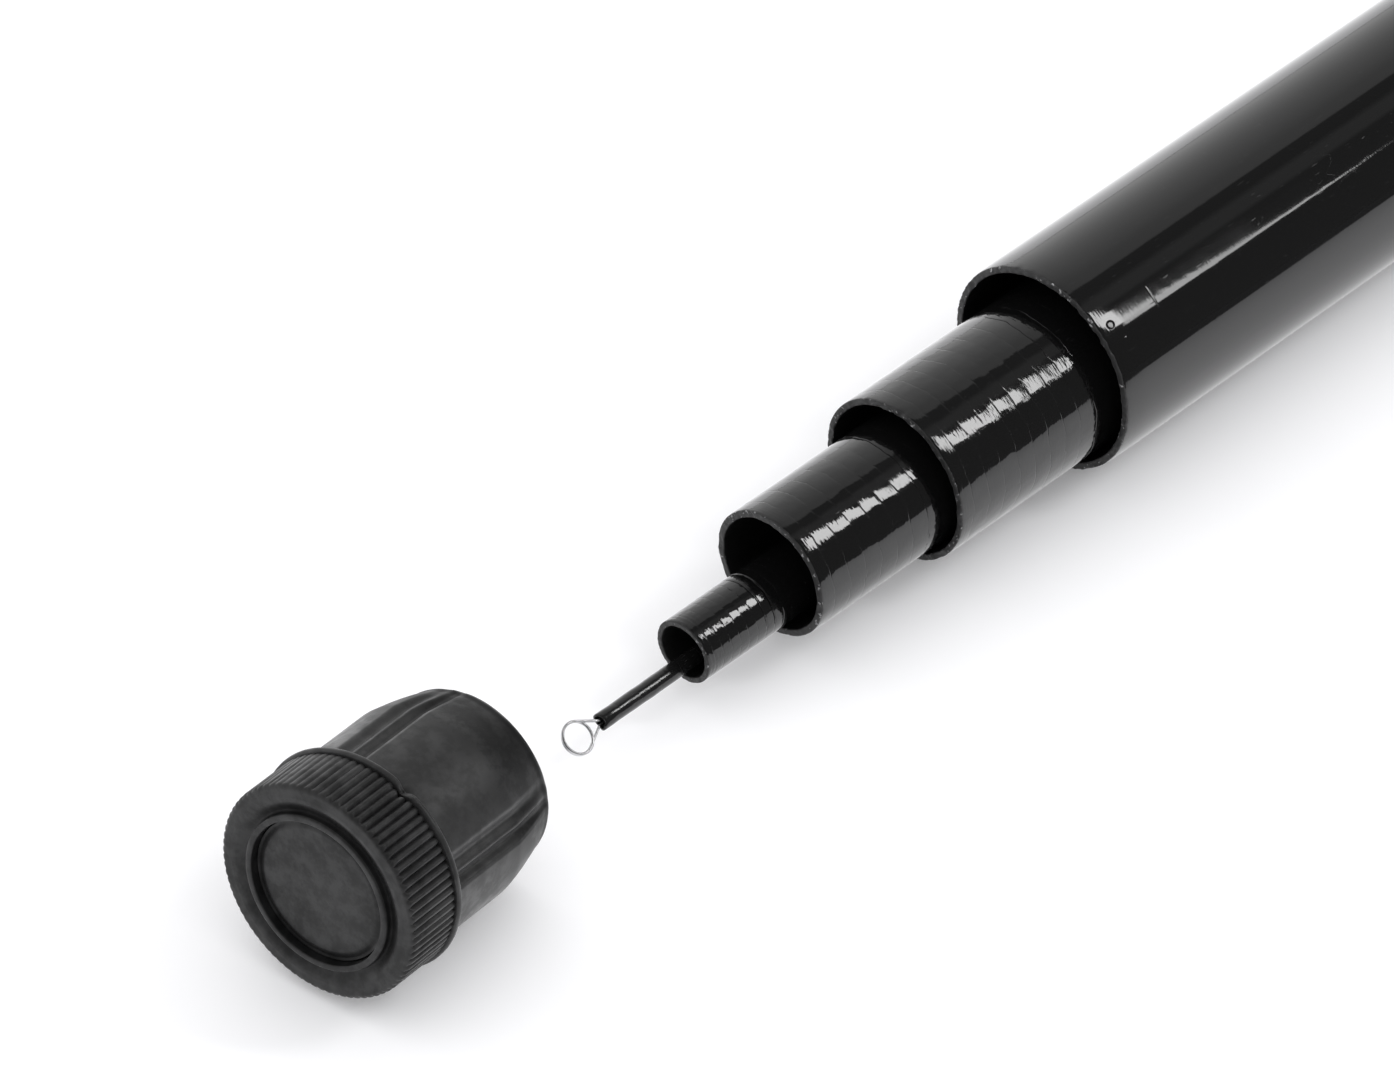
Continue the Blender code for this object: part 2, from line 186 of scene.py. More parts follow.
def makeMouthGroup():
    # fine rings left where the cut mouth was sanded, dying out behind it
    group, ins, outs = newGroup("mouthMarks", "mouthPitch mouthReach mouthDepth", "Height Mask")
    along = axesOf(group, ins["vector"])[0]
    fade = mapRange(group, along, 0.2, ins["mouthReach"], 1.0, 0.0, smooth=True)
    waver = noiseField(group, stretch(group, ins["vector"], 0.8, 0.25), 0.9, 3.0, 0.6)
    turn = plus(group, mathNode(group, "DIVIDE", along, ins["mouthPitch"]), times(group, waver, 1.6))
    wave = mathNode(group, "SINE", times(group, turn, 2 * math.pi))
    deep = times(group, times(group, wave, ins["mouthDepth"]), fade)
    patch = mapRange(group, noiseField(group, ins["vector"], 0.5, 2.0), 0.35, 0.65, smooth=True)
    join(group, times(group, deep, patch), outs["Height"])
    join(group, times(group, fade, patch), outs["Mask"])
    return group


def makeScratchGroup():
    # hairline scratches, mostly along the piece, as a mask
    group, ins, outs = newGroup("hairScratches", "scratchFine scratches", "Scratches")
    cut = minus(group, 0.80, times(group, ins["scratches"], 0.14))
    found = []
    for turn, along in ((3.0, 0.10), (-22.0, 0.16), (61.0, 0.20)):
        lines = noiseField(group, stretch(group, ins["vector"], along, 1.0, turn), ins["scratchFine"], 1.0, 0.4)
        found.append(times(group, minus(group, lines, cut), 18.0, clamp=True))
    both = mathNode(group, "MAXIMUM", mathNode(group, "MAXIMUM", found[0], found[1]), found[2])
    join(group, both, outs["Scratches"])
    return group


def makePitGroup():
    # one small dent or nick at a known place
    group, ins, outs = newGroup("smallPit", "along around long wide depth", "Height Mask")
    axes = axesOf(group, ins["vector"])
    x = mathNode(group, "DIVIDE", minus(group, axes[0], ins["along"]), ins["long"])
    y = mathNode(group, "DIVIDE", minus(group, axes[1], ins["around"]), ins["wide"])
    away = plus(group, times(group, x, x), times(group, y, y))
    inside = mapRange(group, away, 0.3, 1.6, 1.0, 0.0, smooth=True)
    join(group, times(group, inside, times(group, ins["depth"], -1.0)), outs["Height"])
    join(group, inside, outs["Mask"])
    return group


def makeGrainGroup():
    # fine cast grain, as a height
    group, ins, outs = newGroup("castGrain", "grain grainDepth", "Height")
    fine = noiseField(group, ins["vector"], ins["grain"], 3.0, 0.6)
    wide = noiseField(group, ins["vector"], times(group, ins["grain"], 0.18))
    total = plus(group, fine, times(group, wide, 1.4))
    join(group, times(group, total, ins["grainDepth"]), outs["Height"])
    return group


scuffGroup = makeScuffGroup()
wrapGroup = makeWrapGroup()
mouthGroup = makeMouthGroup()
scratchGroup = makeScratchGroup()
pitGroup = makePitGroup()
grainGroup = makeGrainGroup()


def surfaceVector(tree):
    # own UV maps hold millimetres along and round the piece
    return addNode(tree, "ShaderNodeUVMap", uv_map="surface").outputs[0]


def objectVector(tree):
    return addNode(tree, "ShaderNodeTexCoord").outputs["Object"]


def dress(tree, shader, colour, rough, height, others=None):
    bump = addNode(tree, "ShaderNodeBump", {"Strength": 1.0, "Distance": mm, "Height": height})
    values = {"Base Color": colour, "Roughness": rough, "Normal": bump.outputs[0], **(others or {})}
    for label, value in values.items():
        join(tree, value, shader.inputs[label])


def lacquer(name, look):
    # black lacquer over a carbon blank
    material, tree, shader = newMaterial(name)
    vector = surfaceVector(tree)
    scuff, wrap, mouth, hair = (useGroup(tree, group, vector, look)
                                for group in (scuffGroup, wrapGroup, mouthGroup, scratchGroup))
    scratches = hair["Scratches"]
    heights = [wrap["Height"], mouth["Height"], times(tree, scratches, -0.0006)]
    roughs = [times(tree, wrap["Line"], 0.15), times(tree, mouth["Mask"], 0.05), times(tree, scratches, 0.16)]
    for sizes in look["pits"]:
        pit = useGroup(tree, pitGroup, vector, dict(zip(("along", "around", "long", "wide", "depth"), sizes)))
        heights.append(pit["Height"])
        roughs.append(times(tree, pit["Mask"], 0.1))
    colour = mixColours(tree, scuff["Specks"], grey(look["colour"]), grey(look["colour"] * 8))
    colour = mixColours(tree, times(tree, scratches, 0.5), colour, grey(look["colour"] * 5))
    rough = mapRange(tree, scuff["Patches"], 0.0, 1.0, look["rough"], look["rough"] * 1.6)
    dress(tree, shader, colour, plus(tree, rough, *roughs), plus(tree, *heights), {"IOR": 1.5})
    return material


def cutEdge(name, look):
    # sawn and sanded laminate, with light broken fibres
    material, tree, shader = newMaterial(name)
    vector = objectVector(tree)
    plies = noiseField(tree, vector, look["plies"], 4.0, 0.65)
    chips = noiseField(tree, vector, look["chips"], 2.0, 0.7)
    chips = mapRange(tree, chips, 0.60, 0.70, smooth=True)
    colour = mixColours(tree, plies, grey(look["dark"]), grey(look["light"]))
    colour = mixColours(tree, times(tree, chips, look["chipShare"]), colour, grey(look["chip"]))
    rough = mapRange(tree, plies, 0.3, 0.7, 0.45, 0.65)
    relief = times(tree, plus(tree, plies, chips), look["relief"])
    dress(tree, shader, colour, rough, relief, {"Specular IOR Level": 0.35})
    return material


def boreSkin(name, look):
    material, tree, shader = newMaterial(name)
    streaks = noiseField(tree, stretch(tree, surfaceVector(tree), 0.05, 1.6), 1.0, 3.0)
    colour = mixColours(tree, streaks, grey(look["dark"]), grey(look["light"]))
    dress(tree, shader, colour, mapRange(tree, streaks, 0.3, 0.7, 0.35, 0.5), times(tree, streaks, 0.02))
    return material


def faceShade(tree, face, vector, blotch, bodyShine):
    # by the way from the centre in mm: painted shade by the rim's inner wall and in the gutter outside it, and a
    # darkening towards the nose;
    # the painted shade lies on the wall's lower half and the gutter's upper half; the face is dull, the body shines
    # most
    along = axesOf(tree, surfaceVector(tree))[0]
    uneven = plus(tree, along, times(tree, blotch, face["uneven"]))
    nose = mapRange(tree, uneven, *face["nose"], 0.0, face["noseDark"], smooth=True)
    local = axesOf(tree, vector)
    sides = [times(tree, minus(tree, local[i + 1], face["middle"][i]), face["facing"][i]) for i in range(2)]
    upper = mapRange(tree, plus(tree, *sides), *face["halves"], smooth=True)
    wallEnd, gutterStart = face["crest"]
    wall = times(tree, mapRange(tree, along, *face["wall"], 0.0, face["wallShade"], smooth=True),
                 mathNode(tree, "LESS_THAN", along, wallEnd))
    gutter = times(tree, mapRange(tree, along, *face["gutter"], face["gutterShade"], 0.0, smooth=True),
                   mathNode(tree, "GREATER_THAN", along, gutterStart))
    # painted shade: the wall's on the lower half of the face, the gutter's on the upper half
    rim = mathNode(tree, "MAXIMUM", times(tree, wall, minus(tree, 1.0, upper)), times(tree, gutter, upper))
    shadeAndNoseDark = mathNode(tree, "MAXIMUM", nose, rim)
    shine = mapRange(tree, along, *face["body"], face["shine"], bodyShine, smooth=True)
    # the sheen is dulled where shade is painted and on the darker nose
    return shadeAndNoseDark, times(tree, shine, minus(tree, 1.0, times(tree, shadeAndNoseDark, face["dulling"])), clamp=True)


def mouldedRubber(name, look):
    # moulded rubber or soft plastic: dull, blotchy where hands polished it
    material, tree, shader = newMaterial(name)
    vector = objectVector(tree)
    scuff = useGroup(tree, scuffGroup, vector, look)
    blotch = noiseField(tree, vector, look["blotch"], 5.0, 0.68)
    blotch = mapRange(tree, blotch, 0.38, 0.64, smooth=True)
    share = times(tree, plus(tree, scuff["Patches"], blotch), 0.5)
    colour = mixColours(tree, share, grey(look["dark"]), grey(look["light"]))
    colour = mixColours(tree, times(tree, scuff["Specks"], 0.35), colour, grey(look["dust"]))
    shine = look["shine"]
    if "face" in look:
        # with a face: painted shade by the rim and in the gutter, and the darker nose, are mixed into the colour
        shadeAndNoseDark, shine = faceShade(tree, look["face"], vector, blotch, shine)
        colour = mixColours(tree, shadeAndNoseDark, colour, grey(look["dark"] * 0.4))
    rough = mapRange(tree, share, 0.0, 1.0, look["rough"], look["rough"] - look["polish"])
    height = useGroup(tree, grainGroup, vector, look)["Height"]
    if "scratches" in look:
        scratches = useGroup(tree, scratchGroup, surfaceVector(tree), look)["Scratches"]
        height = plus(tree, height, times(tree, scratches, -0.004))
    dress(tree, shader, colour, rough, height, {"Specular IOR Level": shine})
    return material


def drawnMetal(name, look):
    # wire or turned metal, with fine lines along or round it
    material, tree, shader = newMaterial(name)
    lines = noiseField(tree, stretch(tree, surfaceVector(tree), look["along"], look["around"]), 1.0, 3.0, 0.6)
    patches = noiseField(tree, objectVector(tree), 700.0, 3.0)
    colour = mixColours(tree, patches, grey(look["dark"]), grey(look["light"]))
    rough = mapRange(tree, lines, 0.3, 0.7, look["rough"] * 0.8, look["rough"] * 1.3)
    dress(tree, shader, colour, rough, times(tree, lines, look["relief"]), {"Metallic": 1.0})
    return material


def cellFoam(name, look):
    # closed-cell foam: small pits of uneven size
    material, tree, shader = newMaterial(name)
    vector = objectVector(tree)
    large, small = (addNode(tree, "ShaderNodeTexVoronoi", {"Vector": vector, "Scale": look["cells"] * size})
                    for size in (1.0, 2.3))
    pits = times(tree, plus(tree, large.outputs["Distance"], small.outputs["Distance"]), 0.6)
    walls = mapRange(tree, pits, 0.15, 0.55, smooth=True)
    # the pits are painted darker than the cell walls: painted shade in the hollows
    colour = mixColours(tree, walls, grey(look["dark"]), grey(look["light"]))
    dress(tree, shader, colour, 0.9, times(tree, walls, look["relief"]))
    return material


# mesh helpers

def axisFrame(place, direction):
    ahead = Vector(direction).normalized()
    side = Vector((0, 0, 1)).cross(ahead).normalized()
    up = ahead.cross(side)
    turn = Matrix((ahead, side, up)).transposed().to_4x4()
    return Matrix.Translation(place) @ turn


def leanFrame(place, lean):
    return axisFrame(place, (math.cos(lean), 0, -math.sin(lean)))


def placeMesh(mesh, name, materials=()):
    data = bpy.data.meshes.new(name)
    mesh.to_mesh(data)
    mesh.free()
    for material in materials:
        data.materials.append(material)
    placed = bpy.data.objects.new(name, data)
    scene.collection.objects.link(placed)
    return placed


def finishPiece(mesh, name, where, body, materials, replaced=(), sharp=40):
    bmesh.ops.recalc_face_normals(mesh, faces=mesh.faces)
    piece = placeMesh(mesh, name, materials)
    piece.data.transform(where)
    piece.data.shade_smooth()
    piece.data.set_sharp_from_angle(angle=math.radians(sharp))
    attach(piece, body)
    if replaced:
        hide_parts(*replaced)
    return piece


def turnedPiece(name, outline, sides, where, body, materials, replaced=(), shape=None, loop=True, sharp=40,
                mouth=None):
    # outline: (x, radius) round the piece, with a material number if it isn't the first one;
    # shape(x, radius, angle, number) moves single points;
    # with mouth, an outline number, the UV map runs from that point backwards
    outline = [(*point, 0)[:3] for point in outline]
    mesh = bmesh.new()
    uv = mesh.loops.layers.uv.new("surface")
    rings = []
    for number, (x, radius, _) in enumerate(outline):
        if radius <= 0:
            rings.append([mesh.verts.new((x, 0, 0))])
            continue
        ring = []
        for i in range(sides):
            angle = 2 * math.pi * i / sides
            px, pr = (x, radius) if shape is None else shape(x, radius, angle, number)
            ring.append(mesh.verts.new((px, pr * math.cos(angle), pr * math.sin(angle))))
        rings.append(ring)
    # the way along the outline, for the UV map
    travel = [0.0]
    for near, far in zip(outline, outline[1:]):
        travel.append(travel[-1] + math.dist(near[:2], far[:2]))
    travel.append(travel[-1] + math.dist(outline[-1][:2], outline[0][:2]))
    if mouth is not None:
        travel = [travel[mouth] - way for way in travel]
    widest = max(radius for _, radius, _ in outline)
    spans = list(range(len(rings) - 1)) + ([len(rings) - 1] if loop else [])
    for n in spans:
        near, far = rings[n], rings[(n + 1) % len(rings)]
        start, end = travel[n], travel[n + 1]
        for i in range(sides):
            j = (i + 1) % sides
            if len(near) == 1 and len(far) == 1:
                continue
            if len(near) == 1:
                corners = ((near[0], start, i), (far[j], end, i + 1), (far[i], end, i))
            elif len(far) == 1:
                corners = ((near[i], start, i), (near[j], start, i + 1), (far[0], end, i))
            else:
                corners = ((near[i], start, i), (near[j], start, i + 1), (far[j], end, i + 1), (far[i], end, i))
            face = mesh.faces.new([corner[0] for corner in corners])
            face.material_index = outline[n][2]
            for corner, (_, way, step) in zip(face.loops, corners):
                corner[uv].uv = (way / mm, 2 * math.pi * widest * step / sides / mm)
    return finishPiece(mesh, name, where, body, materials, replaced, sharp)


def sweptPiece(name, route, radius, sides, where, body, materials, replaced=()):
    # a round wire along a route of points
    mesh = bmesh.new()
    uv = mesh.loops.layers.uv.new("surface")
    route = [Vector(point) for point in route]
    side = Vector((0, 0, 1))
    rings, travel, way = [], [], 0.0
    for i, point in enumerate(route):
        before, after = route[max(0, i - 1)], route[min(len(route) - 1, i + 1)]
        ahead = (after - before).normalized()
        side = (side - ahead * side.dot(ahead)).normalized()
        other = ahead.cross(side)
        turns = [2 * math.pi * k / sides for k in range(sides)]
        rings.append([mesh.verts.new(point + radius * (math.cos(t) * side + math.sin(t) * other)) for t in turns])
        way += (point - before).length if i else 0.0
        travel.append(way)
    for n, (near, far) in enumerate(zip(rings, rings[1:])):
        for i in range(sides):
            j = (i + 1) % sides
            face = mesh.faces.new((near[i], near[j], far[j], far[i]))
            for corner, (k, step) in zip(face.loops, ((n, i), (n, i + 1), (n + 1, i + 1), (n + 1, i))):
                corner[uv].uv = (travel[k] / mm, 2 * math.pi * radius * step / sides / mm)
    for ring in (rings[0], rings[-1]):
        mesh.faces.new(ring)
    return finishPiece(mesh, name, where, body, materials, replaced, sharp=60)


def steps(first, last, size):
    count = max(1, math.ceil(abs(last - first) / size - 1e-9))
    return [first + (last - first) * i / count for i in range(count + 1)]


def marked(mark, points):
    return [(x, radius, mark) for x, radius in points]


def roundOff(x, radius, wide, high, count, first=0, flatStart=False):
    # quarter of an ellipse: it starts along the axis with flatStart, else along the radius
    turns = [math.pi / 2 * i / count for i in range(first, count + 1)]
    if flatStart:
        return [(x + wide * (1 - math.sin(t)), radius + high * (1 - math.cos(t))) for t in turns]
    return [(x + wide * (1 - math.cos(t)), radius + high * (1 - math.sin(t))) for t in turns]


def rough3(x, y, z, scale, seed=0.0):
    return noise.noise(Vector((x * scale + seed, y * scale - seed, z * scale + 2 * seed)))


def softStep(value):
    value = max(0.0, min(1.0, value))
    return value * value * (3 - 2 * value)


def between(knots, share):
    # smooth way through (place, value) knots
    for (left, low), (right, high) in zip(knots, knots[1:]):
        if share <= right:
            return low + (high - low) * softStep((share - left) / (right - left))
    return knots[-1][1]


# finishes

sectionLook = {
    "colour": 0.0035, "rough": 0.05, "patch": 0.06, "speck": 1.3, "specks": 0.10, "pitch": 2.75, "crown": 0.008,
    "lineWidth": 0.25, "line": 0.012, "ripple": 0.048, "rippleScale": 0.42, "flame": 0.008, "flameScale": 0.8,
    "mouthPitch": 0.45, "mouthReach": 3.2, "mouthDepth": 0.003, "scratches": 0.35, "scratchFine": 4.0, "pits": (),
}
buttLook = dict(
    sectionLook, rough=0.045, patch=0.045, specks=0.06, pitch=60.0, crown=0.0, line=0.0, ripple=0.004,
    rippleScale=0.30, flame=0.0014, flameScale=0.9, mouthReach=4.5, mouthDepth=0.0014, scratches=0.45,
    scratchFine=3.2,
    pits=((1.9, 14.28, 0.55, 0.55, 0.07), (2.9, 12.0, 0.3, 0.25, 0.02), (9.5, 14.1, 0.18, 1.5, 0.014)),
)
sectionTwoLook = dict(
    sectionLook, pitch=1.45, crown=0.004, lineWidth=0.3, line=0.012, ripple=0.035, rippleScale=0.8, flame=0.004,
    flameScale=1.2, mouthReach=4.5, mouthPitch=0.6, mouthDepth=0.009, scratches=0.6, scratchFine=5.0,
    pits=((9.9, 6.0, 0.16, 30.0, 0.02), (11.3, 6.0, 0.16, 30.0, 0.02)),
)
buttLacquer = lacquer("buttLacquer", buttLook)
sectionLacquer = lacquer("sectionLacquer", sectionLook)
sectionTwoLacquer = lacquer("sectionTwoLacquer", sectionTwoLook)
sectionEdge = cutEdge("sectionEdge", {
    "plies": 1500.0, "chips": 1500.0, "dark": 0.006, "light": 0.024, "chip": 0.34, "chipShare": 0.70, "relief": 0.05,
})
buttEdge = cutEdge("buttEdge", {
    "plies": 1300.0, "chips": 1100.0, "dark": 0.008, "light": 0.034, "chip": 0.40, "chipShare": 0.85, "relief": 0.07,
})
darkBore = boreSkin("darkBore", {"dark": 0.002, "light": 0.005})
plugRubber = mouldedRubber("plugRubber", {
    "patch": 130.0, "blotch": 520.0, "speck": 2600.0, "specks": 0.5, "dark": 0.009, "light": 0.026, "dust": 0.07,
    "rough": 0.52, "polish": 0.16, "shine": 0.50, "grain": 3800.0, "grainDepth": 0.008, "scratches": 0.40,
    "scratchFine": 3.2,
    "face": {
        "wall": (7.4, 9.0), "wallShade": 0.52, "crest": (10.85, 11.95), "gutter": (12.45, 14.35),
        "gutterShade": 0.62, "body": (16.6, 28.6), "nose": (36.8, 42.8), "noseDark": 0.6, "uneven": 2.5,
        "shine": 0.21, "dulling": 1.2, "halves": (-0.0045, 0.0035), "middle": (0.0039, 0.0150),
        "facing": (0.58, 0.815),
    },
})
# a darker copy of the plug rubber for the recess floor, the rim's inner wall and the disc's side: painted shade
plugRecessShade = mouldedRubber("plugRecessShade", {
    "patch": 150.0, "blotch": 420.0, "speck": 2600.0, "specks": 0.3, "dark": 0.006, "light": 0.011, "dust": 0.03,
    "rough": 0.7, "polish": 0.1, "shine": 0.2, "grain": 3800.0, "grainDepth": 0.008,
})
print("finishes made")


# blanks

blanks = {
    "butt_blank": {
        "piece": "buttTube", "body": "butt", "place": (0.477719, 0, 0.0140), "lean": 0.0030403, "edge": buttEdge,
        "mouth": 0.0140, "rear": 0.0158, "wall": 0.00102, "length": 1.070, "skin": buttLacquer,
        "sides": 288, "cutWave": 0.00022, "roll": 0.00012, "rollReach": 0.0040, "seed": 3.1,
    },
    "section_4": {
        "piece": "section4Tube", "body": "section_4", "place": (0.504117, 0, 0.012264), "lean": 0.0031153,
        "mouth": 0.01098, "rear": 0.0127978, "wall": 0.00088, "length": 1.0344, "skin": sectionLacquer,
        "sides": 256, "cutWave": 0.00020, "roll": 0.00004, "rollReach": 0.0020, "seed": 7.7,
    },
    "section_3": {
        "piece": "section3Tube", "body": "section_3", "place": (0.525815, 0, 0.010925), "lean": 0.0026811,
        "mouth": 0.00849, "rear": 0.0098794, "wall": 0.00097, "length": 1.0501, "skin": sectionLacquer,
        "sides": 224, "cutWave": 0.00013, "roll": 0.00004, "rollReach": 0.0020, "seed": 12.4,
    },
    "section_2": {
        "piece": "section2Tube", "body": "section_2", "place": (0.540611, 0, 0.007915), "lean": 0.0042551,
        "mouth": 0.00423, "rear": 0.0072862, "wall": 0.00075, "length": 1.0549, "skin": sectionTwoLacquer,
        "sides": 160, "cutWave": 0.00010, "roll": 0.00003, "rollReach": 0.0015, "seed": 19.0,
    },
}


def makeBlank(node, tube):
    nose, rear, wall, length = (tube[key] for key in ("mouth", "rear", "wall", "length"))
    slope = (rear - nose) / length
    broken = 0.00014
    outline = []
    places = steps(-length + broken, -0.07, 0.02) + steps(-0.07, -0.006, 0.0016)[1:]
    for x in places + steps(-0.006, -broken, 0.0004)[1:]:
        rolled = tube["roll"] * max(0.0, 1 + x / tube["rollReach"]) ** 2
        outline.append((x, nose - slope * x - rolled))
    mouth = len(outline) - 1
    lipTop = outline[-1][1]
    outline[-1] = (*outline[-1], 1)
    outline += marked(1, [(-0.35 * broken, lipTop - 0.25 * broken), (0, lipTop - broken)])
    outline += marked(1, [(0, nose - wall * share) for share in (0.35, 0.55, 0.75)])
    outline += marked(1, [(0, nose - wall + broken), (-0.4 * broken, nose - wall + 0.25 * broken)])
    bore = steps(-broken, -0.07, 0.004) + steps(-0.07, -length + broken, 0.05)[1:]
    outline += marked(2, [(x, nose - wall - slope * x) for x in bore])
    outline[-1] = (*outline[-1][:2], 1)
    outline += marked(1, [(-length, rear - wall + broken), (-length, rear - broken)])

    def shape(x, radius, angle, number):
        near = max(0.0, 1 + x / 0.0009)
        if near <= 0:
            return x, radius
        y, z = radius * math.cos(angle), radius * math.sin(angle)
        wave = rough3(0, math.cos(angle), math.sin(angle), 2.2, tube["seed"]) * 0.9
        wave += rough3(0, y, z, 1000, tube["seed"]) * 0.6 + rough3(x, y, z, 2900, tube["seed"]) * 0.5
        chip = max(0.0, rough3(0, y, z, 520, tube["seed"] + 5) - 0.25) * 2.6
        x += near * (tube["cutWave"] * (wave - 0.4) - tube["cutWave"] * chip)
        if number >= mouth - 1:
            radius -= near * tube["cutWave"] * (0.30 * abs(wave) + 0.35 * chip)
        return x, radius

    where = leanFrame(tube["place"], tube["lean"])
    turnedPiece(tube["piece"], outline, tube["sides"], where, tube["body"],
                [tube["skin"], tube.get("edge", sectionEdge), darkBore], (node,), shape, sharp=60, mouth=mouth)


for node, tube in blanks.items():
    makeBlank(node, tube)
print("blanks made")


# tip: solid stick, its end sleeve and the wire eye

tip = {
    "place": (0.554708, 0, 0.005815), "lean": 0.0034073, "legTurn": math.radians(-37),
    "sleeve": 0.00110, "sleeveWall": 0.00030, "sleeveLength": 0.0240, "notch": 0.0004, "notchReach": 0.0018,
    "stickEnd": -0.0100, "stickRadius": 0.0005, "taperStart": -0.0243, "taperEnd": -0.0280,
    "rear": 0.00326, "rearEnd": -1.0550,
    "wire": 0.00019, "eyeCentre": 0.0035, "eyeRadius": 0.00198, "coilStep": 0.00036, "legSpread": 0.00030,
    "legDepth": 0.0060, "turns": 2,
}
tipFrame = leanFrame(tip["place"], tip["lean"])
sleeveGloss = lacquer("sleeveGloss", dict(
    sectionLook, colour=0.006, rough=0.14, patch=0.3, pitch=3.4, crown=0.0, line=0.004, ripple=0.05, rippleScale=0.9,
    flame=0.01, flameScale=0.9, mouthReach=2.0, mouthDepth=0.002, scratches=0.7, scratchFine=5.0,
))
tipLacquer = lacquer("tipLacquer", dict(sectionLook, pitch=2.1, ripple=0.012, flame=0.002, crown=0.001, line=0.002))
eyeSteel = drawnMetal("eyeSteel", {
    "along": 0.3, "around": 14.0, "dark": 0.34, "light": 0.52, "rough": 0.24, "relief": 0.003,
})


def makeTip():
    t = tip
    radius, wall, length = t["sleeve"], t["sleeveWall"], t["sleeveLength"]
    outside = steps(-length + 0.00006, -0.003, 0.0008) + steps(-0.003, -0.00018, 0.0003)[1:]
    outline = [(x, radius) for x in outside]
    mouth = len(outline) - 1
    outline += [(-0.00005, radius - 0.00005), (0, radius - 0.00013), (0, radius - wall + 0.00006),
                (-0.0001, radius - wall)]
    outline += [(x, radius - wall) for x in steps(-0.0012, -length + 0.00006, 0.002)]
    outline += [(-length, radius - wall + 0.00006), (-length, radius - 0.00006)]

    def shape(x, r, angle, number):
        side = math.sin(angle - t["legTurn"]) ** 2
        end = softStep(1 + x / t["notchReach"])
        y, z = 0.0008 * math.cos(angle), 0.0008 * math.sin(angle)
        lump = rough3(x, y, z, 520, 6.0) + 0.4 * rough3(x, y, z, 1500, 2.0)
        r *= 1 + (0.040 * lump if r > radius - 0.5 * wall else 0.0)
        r *= 1 - 0.10 * end * side  # the end is nipped flat over the wire legs
        x -= t["notch"] * end * side * (0.85 + 0.5 * rough3(0, math.cos(angle), math.sin(angle), 3.0, 2.2))
        return x, r

    turnedPiece("tipSleeveTube", outline, 72, tipFrame, "tip", [sleeveGloss], ("tip_sleeve",), shape,
                sharp=50, mouth=mouth)

    thin, taperStart, taperEnd = t["stickRadius"], t["taperStart"], t["taperEnd"]
    slope = (t["rear"] - radius) / (taperEnd - t["rearEnd"])
    outline = [(t["stickEnd"], 0.0), (t["stickEnd"], thin - 0.00008), (t["stickEnd"] - 0.00008, thin)]
    outline += [(x, thin) for x in steps(-0.012, taperStart, 0.003)]
    for x in steps(taperStart, taperEnd, 0.0005)[1:]:
        outline.append((x, thin + (radius - thin) * softStep((taperStart - x) / (taperStart - taperEnd))))
    outline += [(x, radius + slope * (taperEnd - x)) for x in steps(taperEnd, t["rearEnd"], 0.03)[1:]]
    outline.append((t["rearEnd"], 0.0))
    turnedPiece("tipStick", outline, 64, tipFrame, "tip", [tipLacquer], ("tip_blank",), loop=False)

    # the eye: two legs and the coils between them
    ring, reach, spread = t["eyeRadius"], t["eyeCentre"], t["legSpread"]
    swing = math.acos(ring / math.hypot(reach, spread))
    first = math.pi - math.atan(spread / reach) - swing
    sweep = 2 * math.pi * (t["turns"] - 1) + 2 * first
    count = 48 * t["turns"]
    half = t["coilStep"] / 2
    route = [(x, spread, -half) for x in steps(-t["legDepth"], 0, 0.002)]
    for i in range(count + 1):
        angle = first - sweep * i / count
        grown = ring + 0.00003 * math.sin(2.3 * angle)
        route.append((reach + grown * math.cos(angle), grown * math.sin(angle), t["coilStep"] * (i / count - 0.5)))
    route += [(x, -spread, half) for x in steps(0, -t["legDepth"], 0.002)]
    where = tipFrame @ Matrix.Rotation(t["legTurn"], 4, "X")
    sweptPiece("tipEye", route, t["wire"], 16, where, "tip", [eyeSteel], ("tip_ring",))


makeTip()
print("tip made")


# grip, insert, cap, sealing ring and cushion at the rear

buttFrame = leanFrame(blanks["butt_blank"]["place"], blanks["butt_blank"]["lean"])
grip = {
    "front": -0.8100, "rear": -1.0700, "frontRadius": 0.016463, "rearRadius": 0.0169, "wall": 0.0008,
    "pitch": 0.0066, "turns": 18, "relief": 0.00028, "sides": 288, "bead": 0.0030,
}
insert = {"front": -1.0565, "rear": -1.0700, "radius": 0.01443, "bore": 0.0135, "thread": 0.0020, "depth": 0.00022}
cap = {
    "cupFloor": -1.0774, "cup": 0.0115, "spigot": 0.0131, "spigotEnd": -1.0570, "groove": -1.0724,
    "grooveOuter": 0.0155, "rimFront": -1.0710, "rimBack": -1.0820, "rim": 0.0167, "teeth": 40,
    "toothDepth": 0.0004, "edge": 0.0010, "thread": 0.0020, "threadHeight": 0.00024,
    "slotWide": 0.0018, "slotDeep": 0.0016,
}
seal = {"x": -1.0712, "radius": 0.0143, "thick": 0.0018}
pad = {"front": -1.0560, "radius": 0.0112, "thick": 0.0060, "edge": 0.0008}

gripRubber = mouldedRubber("gripRubber", {
    "patch": 60.0, "blotch": 240.0, "speck": 1600.0, "specks": 0.35, "dark": 0.013, "light": 0.019, "dust": 0.06,
    "rough": 0.78, "polish": 0.16, "shine": 0.35, "grain": 2600.0, "grainDepth": 0.018,
})
capPlastic = mouldedRubber("capPlastic", {
    "patch": 120.0, "blotch": 300.0, "speck": 2200.0, "specks": 0.4, "dark": 0.020, "light": 0.032, "dust": 0.09,
    "rough": 0.50, "polish": 0.14, "shine": 0.5, "grain": 5200.0, "grainDepth": 0.005, "scratches": 0.5,
    "scratchFine": 3.2,
})
sealRubber = mouldedRubber("sealRubber", {
    "patch": 200.0, "blotch": 500.0, "speck": 2600.0, "specks": 0.3, "dark": 0.012, "light": 0.020, "dust": 0.06,
    "rough": 0.46, "polish": 0.12, "shine": 0.5, "grain": 3000.0, "grainDepth": 0.004,
})
